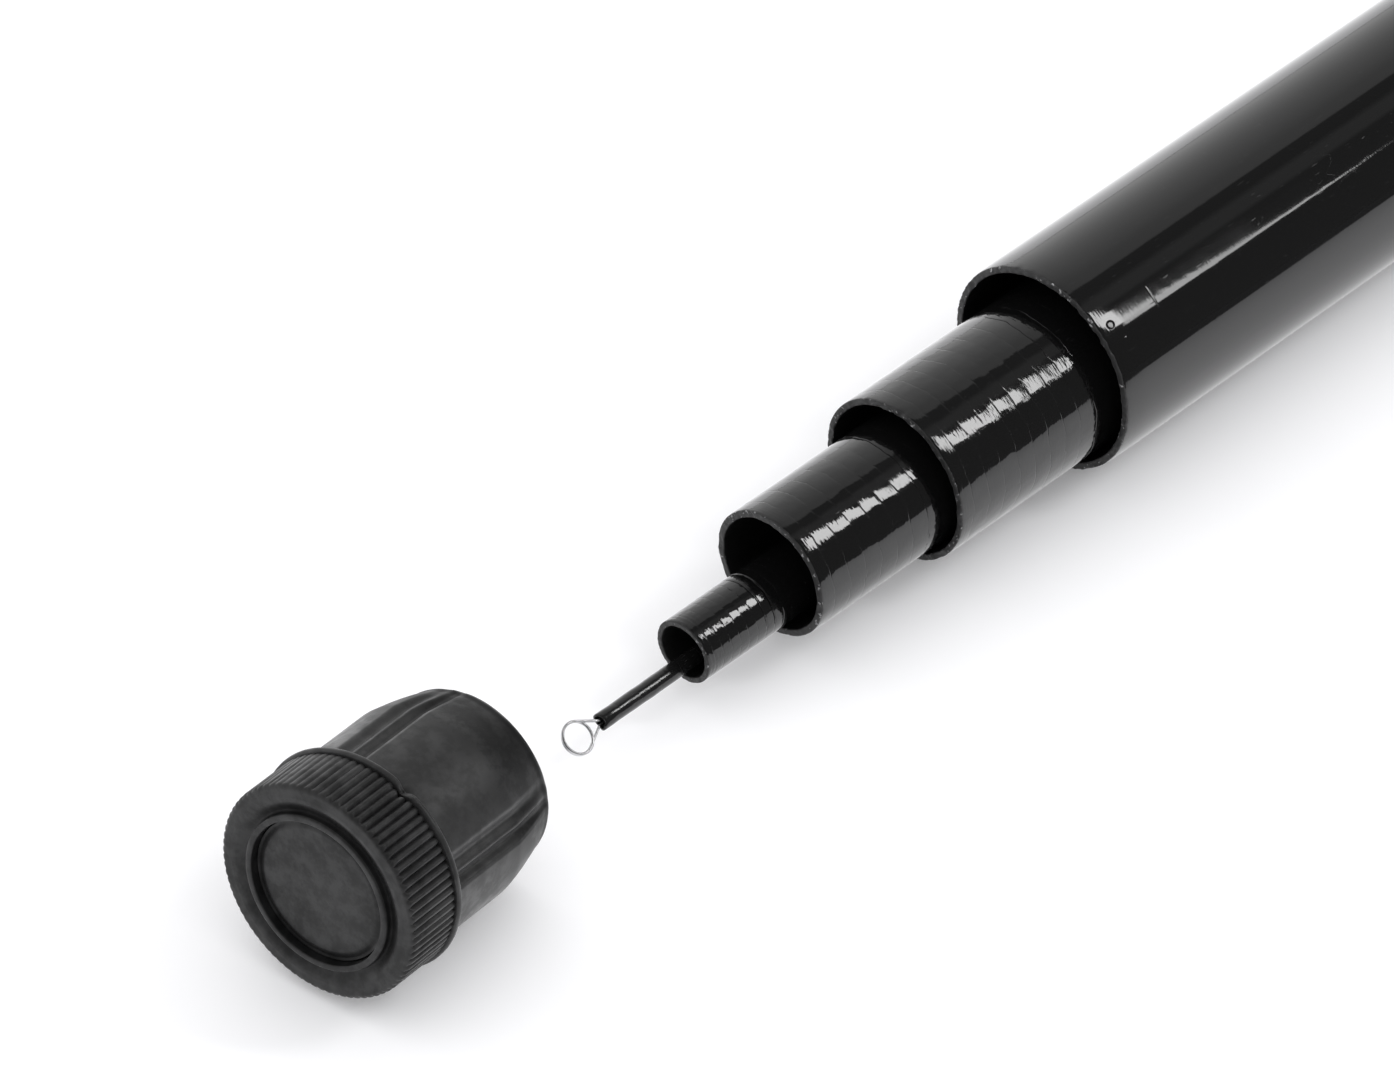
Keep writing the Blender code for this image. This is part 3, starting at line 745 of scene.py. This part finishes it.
insertAlloy = drawnMetal("insertAlloy", {
    "along": 9.0, "around": 0.12, "dark": 0.36, "light": 0.50, "rough": 0.38, "relief": 0.006,
})
padFoam = cellFoam("padFoam", {"cells": 1500.0, "dark": 0.11, "light": 0.21, "relief": 0.12})


def makeGrip():
    g = grip
    slope = (g["rearRadius"] - g["frontRadius"]) / (g["front"] - g["rear"])

    def skin(x):
        return g["frontRadius"] + slope * (g["front"] - x)

    front, rear, wall = g["front"], g["rear"], g["wall"]
    outline = [(x, skin(x)) for x in steps(rear + 0.0003, front - 0.0003, 0.0008)]
    outline += [(front - 0.00008, skin(front) - 0.0001), (front, skin(front) - 0.0003), (front, skin(front) - wall)]
    outline += [(x, skin(x) - wall) for x in steps(front - 0.002, rear + 0.002, 0.03)]
    outline += [(rear, skin(rear) - wall), (rear, skin(rear) - 0.0003)]

    def shape(x, radius, angle, number):
        if radius < skin(x) - 0.00005:
            return x, radius
        # crossed spiral ribs between plain hems
        inside = softStep((front - g["bead"] - x) / 0.002) * softStep((x - rear - g["bead"]) / 0.002)
        turn, way = g["turns"] * angle, 2 * math.pi * x / g["pitch"]
        low = g["relief"] * softStep((0.86 - max(math.cos(way + turn), math.cos(way - turn))) / 0.4)
        return x, radius - inside * low

    turnedPiece("gripTube", outline, g["sides"], buttFrame, "butt", [gripRubber], ("grip_sleeve",),
                shape)


def makeInsert():
    n = insert
    front, rear, radius, bore = (n[key] for key in ("front", "rear", "radius", "bore"))
    outline = [(rear + 0.0002, radius), (front - 0.0002, radius), (front, radius - 0.0002), (front, bore + 0.0004)]
    outline += [(x, bore) for x in steps(front - 0.0006, rear + 0.0006, 0.00025)]
    outline += [(rear, bore + 0.0004), (rear, radius - 0.0002)]

    def shape(x, radius, angle, number):
        if radius > bore + 0.0001:
            return x, radius
        share = (x / n["thread"] + angle / (2 * math.pi)) % 1.0
        return x, radius + n["depth"] * (1 - abs(2 * share - 1))

    turnedPiece("insertRing", outline, 144, buttFrame, "butt", [insertAlloy], ("insert_ring",), shape)


def makeCap():
    c = cap
    floor, cup, spigot, spigotEnd = c["cupFloor"], c["cup"], c["spigot"], c["spigotEnd"]
    rimFront, rimBack, edge, root = c["rimFront"], c["rimBack"], c["edge"], c["rim"] - c["toothDepth"]
    body = marked("plain", [
        (floor, 0.0), (floor, 0.006), (floor, cup - 0.0006), (floor + 0.0002, cup - 0.0002), (floor + 0.0006, cup),
        (spigotEnd - 0.0004, cup), (spigotEnd, cup + 0.0003), (spigotEnd, spigot - 0.0005),
        (spigotEnd - 0.0005, spigot),
    ])
    body += marked("thread", [(x, spigot) for x in steps(spigotEnd - 0.0008, rimFront + 0.0012, 0.00025)])
    body += marked("plain", [
        (c["groove"], spigot), (c["groove"], c["grooveOuter"]), (rimFront, c["grooveOuter"]),
        (rimFront, root - 0.0005), (rimFront - 0.0003, root - 0.0001),
    ])
    body += marked("tooth", [(x, root) for x in steps(rimFront - 0.0010, rimBack + 0.0013, 0.00025)])
    body += marked("plain", roundOff(rimBack, root, edge, -edge, 7, 1, flatStart=True))
    body += marked("plain", [(rimBack, 0.0145)] + [(rimBack + 0.0001, radius) for radius in (0.0138, 0.0060, 0.0)])

    def shape(x, radius, angle, number):
        kind = body[number][2]
        if kind == "thread":
            share = (x / c["thread"] + angle / (2 * math.pi)) % 1.0
            ends = softStep((spigotEnd - 0.0006 - x) / 0.001) * softStep((x - rimFront - 0.001) / 0.001)
            radius += c["threadHeight"] * (1 - abs(2 * share - 1)) * ends
        if kind == "tooth":
            share = (angle * c["teeth"] / (2 * math.pi)) % 1.0
            ends = softStep((rimFront - 0.0016 - x) / 0.0012) * softStep((x - rimBack - 0.0018) / 0.0012)
            radius += c["toothDepth"] * softStep((0.38 - abs(share - 0.5)) / 0.2) * ends
        return x, radius

    outline = [(x, r) for x, r, _ in body]
    piece = turnedPiece("rearCap", outline, 640, buttFrame, "cap", [capPlastic], ("butt_cap",), shape,
                        loop=False)
    # the coin slot, cut with its edges broken
    mesh = bmesh.new()
    wide, deep, far = c["slotWide"] / 2, c["slotDeep"], 0.03
    half = [(rimBack + deep, wide - 0.0002), (rimBack + deep - 0.0002, wide), (rimBack + 0.0002, wide),
            (rimBack - 0.0004, wide + 0.0005)]
    section = [(x, y * side) for side in (1, -1) for x, y in half[::side]]
    section = section[-1:] + section[:-1]
    ends = [[mesh.verts.new((x, y, z)) for x, y in section] for z in (-far, far)]
    for i in range(len(section)):
        j = (i + 1) % len(section)
        mesh.faces.new((ends[0][i], ends[0][j], ends[1][j], ends[1][i]))
    mesh.faces.new(ends[0])
    mesh.faces.new(ends[1])
    bmesh.ops.recalc_face_normals(mesh, faces=mesh.faces)
    cutter = placeMesh(mesh, "slotCutter")
    cutter.data.transform(buttFrame)
    cut = piece.modifiers.new("coinSlot", "BOOLEAN")
    cut.operation, cut.solver, cut.object = "DIFFERENCE", "EXACT", cutter
    bpy.context.view_layer.update()
    finished = bpy.data.meshes.new_from_object(piece.evaluated_get(bpy.context.evaluated_depsgraph_get()))
    piece.modifiers.clear()
    piece.data = finished
    bpy.data.objects.remove(cutter, do_unlink=True)


def makeSealAndPad():
    s = seal
    turns, half = [2 * math.pi * i / 20 for i in range(20)], s["thick"] / 2
    outline = [(s["x"] + half * math.sin(turn), s["radius"] + half * math.cos(turn)) for turn in turns]
    turnedPiece("sealRing", outline, 160, buttFrame, "cap_seal", [sealRubber], ("cap_o_ring",))
    front, wide, edge = pad["front"], pad["radius"], pad["edge"]
    back = front - pad["thick"]
    outline = [(front, 0.0)] + [(front, r) for r in steps(0.0015, wide - edge, 0.0012)]
    outline += roundOff(front, wide, -edge, -edge, 6, 1)
    outline += [(x, wide) for x in steps(front - 0.0015, back + 0.0001, 0.0011)]
    outline += [(back, wide - 0.0001), (back, 0.0)]

    def shape(x, radius, angle, number):
        y, z = radius * math.cos(angle), radius * math.sin(angle)
        dip = 0.00012 * rough3(x, y, z, 420, 8.0) - 0.00012
        if x > front - 0.0004:
            return x + dip, radius
        return x, radius + (dip if x > back + 0.0001 else 0.0)

    cushion = turnedPiece("cushionFoam", outline, 112, buttFrame, "cap", [padFoam], ("cushion_pad",),
                          shape, loop=False)


makeGrip()
makeInsert()
makeCap()
makeSealAndPad()
print("rear end made")


# end plug: turned outline with toothed, lipped and channelled stretches

plug = {
    "place": (0.5967, 0.0029, 0.01419), "ahead": (0.9856777, 0.1297669, 0.1077032),
    "face": 0.0076, "head": 0.0137, "edgeDeep": 0.0006, "edgeHigh": 0.0007, "teeth": 82, "perTooth": 8,
    "valley": 0.66, "toothDepth": 0.00050, "toothFade": 0.0009,
    "rimIn": 0.0092, "rimOut": 0.0100, "rimProud": 0.0003, "gutter": 0.0006, "gutterStart": 0.00025, "brow": 0.0118,
    "floorDeep": 0.0015, "disc": 0.0091, "discSunk": 0.00055, "discBack": 0.0014, "discFlat": 0.0078,
    "discEnd": 0.0088, "discValley": 0.0003,
    "lip": 0.01406, "lipFront": -0.00016, "lipBack": -0.00100, "lipEdge": 0.0003, "lipHollow": 0.0004,
    "body": 0.0128, "filletLong": 0.0006, "filletHigh": 0.0007, "shoulder": -0.0136, "bulge": 0.00012,
    "nose": 0.01125, "noseEnd": -0.0217, "noseEdge": 0.0014, "bore": 0.0093, "boreEnd": 0.0040,
    "channelFirst": math.radians(17.5), "channelHalf": math.radians(11.6), "channelDepth": 0.0010,
    "wornTurn": math.radians(115), "wornReach": math.radians(32), "worn": 0.80,
    "gateTurn": math.radians(68), "gatePlace": -0.0006, "gateRadius": 0.0139, "gateSize": 0.00085,
    "gateDepth": 0.0010, "gateCrumbs": 0.00028,
}
plugFrame = axisFrame(plug["place"], plug["ahead"])
channelKnots = ((0, 0), (0.06, 0.12), (0.22, 1.0), (0.30, 0.95), (0.48, 0.22), (0.72, 0.72), (1.0, 0.0))


def toothDrop(angle):
    # 0 on a crest, 1 at the foot of a valley
    share = (angle * plug["teeth"] / (2 * math.pi)) % 1.0
    return max(0.0, 1 - abs(share - 0.5) * 2 / plug["valley"]) ** 1.15


def channelDrop(angle):
    quarter = math.pi / 2
    off = (angle - plug["channelFirst"] + quarter / 2) % quarter - quarter / 2
    share = 0.5 + 0.5 * off / plug["channelHalf"]
    return between(channelKnots, share) if 0 < share < 1 else 0.0


def plugOutline():
    p = plug
    face, head, lip, body, bore = (p[key] for key in ("face", "head", "lip", "body", "bore"))
    rimIn, rimOut, lipFront, lipBack = (p[key] for key in ("rimIn", "rimOut", "lipFront", "lipBack"))
    crest, foot, start = face + p["rimProud"], face - p["gutter"], rimOut + p["gutterStart"]
    # floor of the recess, its rim, and the gutter that slopes up to the flat ring
    points = [(face - p["floorDeep"], 0.0), (face - p["floorDeep"], rimIn)]
    points += [(face - deep, rimIn) for deep in (0.0011, 0.0007, 0.0003)]
    points += [(crest - 0.00012, rimIn + 0.00001), (crest - 0.00003, rimIn + 0.00005), (crest, rimIn + 0.00014),
               (crest, rimOut - 0.00020), (crest - 0.00004, rimOut - 0.00008), (crest - 0.00014, rimOut),
               (foot + 0.0003, rimOut + 0.00003), (foot + 0.0001, rimOut + 0.00010), (foot, start)]
    for share in steps(0, 1, 1 / 12)[1:]:
        points.append((foot + p["gutter"] * softStep(share), start + (p["brow"] - start) * share))
    points += [(face + 0.00003, 0.0120), (face + 0.00002, 0.0122), (face, 0.0124)]
    points = marked("plain", points)
    # toothed head, lip and body
    points += marked("tooth", roundOff(face, head, -p["edgeDeep"], -p["edgeHigh"], 7))
    points += marked("tooth", [(x, head) for x in steps(face - 0.0009, 0.0006, 0.0006)])
    points += marked("tooth", [(0.0003, head), (0.0001, head - 0.00003), (0.0, head - 0.00010),
                               (lipFront + 0.00003, head - 0.00012)])
    points += marked("lip", roundOff(lipFront, lip, -p["lipEdge"], -p["lipEdge"], 5))
    points += marked("lip", [((lipFront + lipBack) / 2, lip)])
    points += marked("lip", roundOff(lipBack, lip, p["lipHollow"], -p["lipHollow"], 5, flatStart=True))
    points += marked("body", roundOff(lipBack, body, -p["filletLong"], p["filletHigh"], 6))
    points += marked("body", [(x, body) for x in steps(lipBack - 0.0009, p["shoulder"] + 0.0004, 0.0006)])
    coneEnd = p["noseEnd"] + p["noseEdge"]
    for x in steps(p["shoulder"], coneEnd, 0.0006):
        share = (p["shoulder"] - x) / (p["shoulder"] - coneEnd)
        bulge = p["bulge"] * math.sin(math.pi * min(1, share))
        points.append((x, body - 0.00003 + (p["nose"] - body) * share + bulge, "body"))
    points += marked("nose", roundOff(p["noseEnd"], p["nose"], p["noseEdge"], -p["noseEdge"], 8, 1, flatStart=True))
    # hollow
    points += marked("plain", [(p["noseEnd"], bore + 0.0002), (p["noseEnd"] + 0.0002, bore)])
    points += marked("plain", [(x, bore) for x in steps(p["noseEnd"] + 0.001, p["boreEnd"] - 0.001, 0.004)])
    points += marked("plain", [(p["boreEnd"] - 0.0003, bore - 0.0003), (p["boreEnd"], bore - 0.001),
                               (p["boreEnd"], 0.0)])
    return points


def makePlug():
    p = plug
    points = plugOutline()
    sides = p["teeth"] * p["perTooth"]
    channels = [channelDrop(2 * math.pi * i / sides) for i in range(sides)]
    teeth = [toothDrop(2 * math.pi * i / sides) for i in range(sides)]

    def shape(x, radius, angle, number):
        kind = points[number][2]
        i = round(angle * sides / (2 * math.pi)) % sides
        if kind == "tooth":
            worn = 1 + 0.25 * rough3(x, math.cos(angle), math.sin(angle), 9, 2.0)
            worn -= p["worn"] * math.exp(-(((angle - p["wornTurn"]) / p["wornReach"]) ** 2))
            radius -= teeth[i] * p["toothDepth"] * worn * softStep((p["face"] - x) / p["toothFade"] + 0.12)
        elif kind in ("body", "nose"):
            fade = max(0.0, min(1.0, (p["shoulder"] - x) / (p["shoulder"] - p["noseEnd"])))
            radius -= channels[i] * p["channelDepth"] * (1 - fade)
            radius += 0.00003 * rough3(x, radius * math.cos(angle), radius * math.sin(angle), 260, 1.0)
        if kind != "plain" and -0.004 < x < 0.0035:
            around = (angle - p["gateTurn"]) * p["gateRadius"]
            away = math.hypot(around, x - p["gatePlace"]) / p["gateSize"]
            if away < 3:
                crumb = rough3(x, around, 0, 3600, 4.0) + 0.6 * rough3(x, around, 0, 8000, 2.0)
                radius -= p["gateDepth"] * math.exp(-away * away) * (1 + 0.5 * crumb)
                radius += p["gateCrumbs"] * crumb * math.exp(-0.35 * away * away)
        return x, radius

    # faces inside the rim take the darker copy of the rubber: painted shade
    outline = [(x, r, 1 if kind == "plain" and x > 0 and r < p["rimIn"] else 0) for x, r, kind in points]
    turnedPiece("plugShell", outline, sides, plugFrame, "plug", [plugRubber, plugRecessShade], ("end_plug",),
                shape, loop=False, sharp=62)
    front, back = p["face"] - p["discSunk"], p["face"] - p["discBack"]
    flat, end, valley, disc = (p[key] for key in ("discFlat", "discEnd", "discValley", "disc"))
    outline = [(front - 0.00005, 0.0), (front - 0.00003, 0.004)]
    outline += [(front - valley * softStep((r - flat) / (end - flat)), r) for r in steps(flat, end, 0.00015)]
    outline += [(front - valley + 0.00010, disc - 0.00018), (front - valley + 0.00012, disc - 0.00010)]
    # the disc's side and back take the darker copy of the rubber: painted shade
    outline += marked(1, [(front - valley, disc), (back, disc), (back, 0.0)])
    turnedPiece("plugFaceDisc", outline, 192, plugFrame, "plug", [plugRubber, plugRecessShade],
                ("plug_disc",), loop=False, sharp=50)


makePlug()
print("plug made")


# stage, light and camera

stage = {
    "floorSize": 6.0, "floorColour": 0.93, "cameraLift": 0.09, "nearGloss": 0.46, "farGloss": 0.04,
    "nearEdge": 0.05, "farEdge": 0.160, "farColour": 0.12,
}
# (angle over the rod from the +Y side, light from there): what gloss reflects, and what falls on the rest
skyByAngle = (
    (0, 0.15), (66, 0.15), (70, 0.33), (80, 0.33), (86, 0.15), (98.5, 0.15), (99.5, 0.60), (111, 0.62), (121, 0.75),
    (131, 0.85), (142, 0.95), (154, 1.1), (167, 1.25), (180, 1.4),
)
softSky = ((0, 1.0), (90, 1.06), (180, 1.4))
# outline of the softbox in its own plane: (x, lower edge, upper edge, light given off)
softbox = {
    "centre": (0, 0.792, 0.9015),
    "edges": (
        (-0.130, -0.440, -0.020, 13.0), (-0.200, -0.480, -0.070, 13.0), (-0.262, -0.440, 0.030, 13.0),
        (-0.330, -0.300, 0.050, 13.0), (-0.392, -0.270, 0.060, 13.0), (-0.404, -0.080, 0.135, 9.0),
        (-0.430, 0.005, 0.140, 7.5), (-0.476, 0.098, 0.152, 7.5), (-0.524, 0.132, 0.165, 7.5),
    ),
}
lens = {"place": (1.0164, 0.4362, 0.5973), "yaw": 222.40, "pitch": 41.53, "roll": 1.81, "mm": 192.1}


def makeFloor():
    s = stage
    mesh = bmesh.new()
    bmesh.ops.create_grid(mesh, x_segments=8, y_segments=8, size=s["floorSize"] / 2)
    material, tree, shader = newMaterial("paleFloor")
    vector = objectVector(tree)
    paper = noiseField(tree, vector, 180.0, 3.0)
    pale = mixColours(tree, paper, grey(s["floorColour"] - 0.01), grey(s["floorColour"]))
    across = axesOf(tree, vector)[1]
    # in reflections only, the floor beyond farEdge takes the dark farColour: a painted dark reflection
    rays = addNode(tree, "ShaderNodeLightPath")
    beyond = mapRange(tree, across, s["farEdge"], s["farEdge"] + 0.01)
    hidden = times(tree, beyond, rays.outputs["Is Glossy Ray"])
    join(tree, mixColours(tree, hidden, pale, grey(s["farColour"])), shader.inputs["Base Color"])
    join(tree, 0.9, shader.inputs["Roughness"])
    join(tree, 0.0, shader.inputs["Specular IOR Level"])
    lift = times(tree, rays.outputs["Is Camera Ray"], s["cameraLift"])
    # in reflections only, the floor glows, most by the rod and fading out at farEdge: a painted reflection
    gloss = mapRange(tree, across, s["nearEdge"], s["farEdge"], s["nearGloss"], s["farGloss"])
    gloss = times(tree, gloss, minus(tree, 1.0, beyond))
    gloss = times(tree, gloss, rays.outputs["Is Glossy Ray"])
    join(tree, (1, 1, 1, 1), shader.inputs["Emission Color"])
    join(tree, plus(tree, lift, gloss), shader.inputs["Emission Strength"])
    placeMesh(mesh, "studioFloor", [material])


def skyRamp(tree, share, levels):
    ramp = addNode(tree, "ShaderNodeValToRGB", {"Fac": share})
    top = max(light for _, light in levels)
    stops = ramp.color_ramp.elements
    while len(stops) < len(levels):
        stops.new(0.5)
    for stop, (angle, light) in zip(stops, levels):
        stop.position = angle / 180
        stop.color = (light / top, light / top, light / top, 1)
    return addNode(tree, "ShaderNodeBackground", {"Color": ramp.outputs[0], "Strength": top}).outputs[0]


def makeSky():
    world = bpy.data.worlds.new("studioSky")
    scene.world = world
    world.use_nodes = True
    tree = world.node_tree
    tree.nodes.clear()
    way = addNode(tree, "ShaderNodeTexCoord").outputs["Generated"]
    parts = axesOf(tree, way)
    turn = mathNode(tree, "ARCTAN2", parts[2], parts[1])
    share = mathNode(tree, "DIVIDE", turn, math.pi)
    white = addNode(tree, "ShaderNodeBackground", {"Color": (1, 1, 1, 1), "Strength": 1.0}).outputs[0]
    rays = addNode(tree, "ShaderNodeLightPath")
    seen = addNode(tree, "ShaderNodeMixShader", {
        0: rays.outputs["Is Glossy Ray"], 1: skyRamp(tree, share, softSky), 2: skyRamp(tree, share, skyByAngle),
    })
    mix = addNode(tree, "ShaderNodeMixShader", {0: rays.outputs["Is Camera Ray"], 1: seen.outputs[0], 2: white})
    out = addNode(tree, "ShaderNodeOutputWorld")
    tree.links.new(mix.outputs[0], out.inputs["Surface"])


def makeSoftbox():
    centre = Vector(softbox["centre"])
    down = Vector((0, -centre.y, 0.012 - centre.z)).normalized()
    across = Vector((0, -down.z, down.y))
    mesh = bmesh.new()
    glow = mesh.loops.layers.uv.new("surface")
    rows = []
    for x, low, high, light in softbox["edges"]:
        rows.append([(mesh.verts.new(Vector((x, centre.y, centre.z)) + across * w), light) for w in (low, high)])
    for near, far in zip(rows, rows[1:]):
        corners = (near[0], near[1], far[1], far[0])
        face = mesh.faces.new([corner for corner, _ in corners])
        for loop, (_, light) in zip(face.loops, corners):
            loop[glow].uv = (light, 0)
    material, tree, shader = newMaterial("softboxGlow")
    join(tree, (0, 0, 0, 1), shader.inputs["Base Color"])
    join(tree, (1, 1, 1, 1), shader.inputs["Emission Color"])
    join(tree, axesOf(tree, surfaceVector(tree))[0], shader.inputs["Emission Strength"])
    box = placeMesh(mesh, "softbox", [material])
    box.visible_camera = False
    box.visible_shadow = False


def makeCamera():
    yaw, pitch, roll = (math.radians(lens[key]) for key in ("yaw", "pitch", "roll"))
    ahead = Vector((math.cos(yaw) * math.cos(pitch), math.sin(yaw) * math.cos(pitch), -math.sin(pitch)))
    right = Vector((math.sin(yaw), -math.cos(yaw), 0))
    up = right.cross(ahead)
    across = math.cos(roll) * right + math.sin(roll) * up
    rise = math.cos(roll) * up - math.sin(roll) * right
    data = bpy.data.cameras.new("studioCamera")
    data.sensor_width = 36
    data.lens = lens["mm"]
    data.clip_start, data.clip_end = 0.01, 50
    camera = bpy.data.objects.new("studioCamera", data)
    camera.matrix_world = Matrix.Translation(lens["place"]) @ Matrix((across, rise, -ahead)).transposed().to_4x4()
    scene.collection.objects.link(camera)
    scene.camera = camera


makeFloor()
makeSky()
makeSoftbox()
makeCamera()
print("stage, light and camera set")
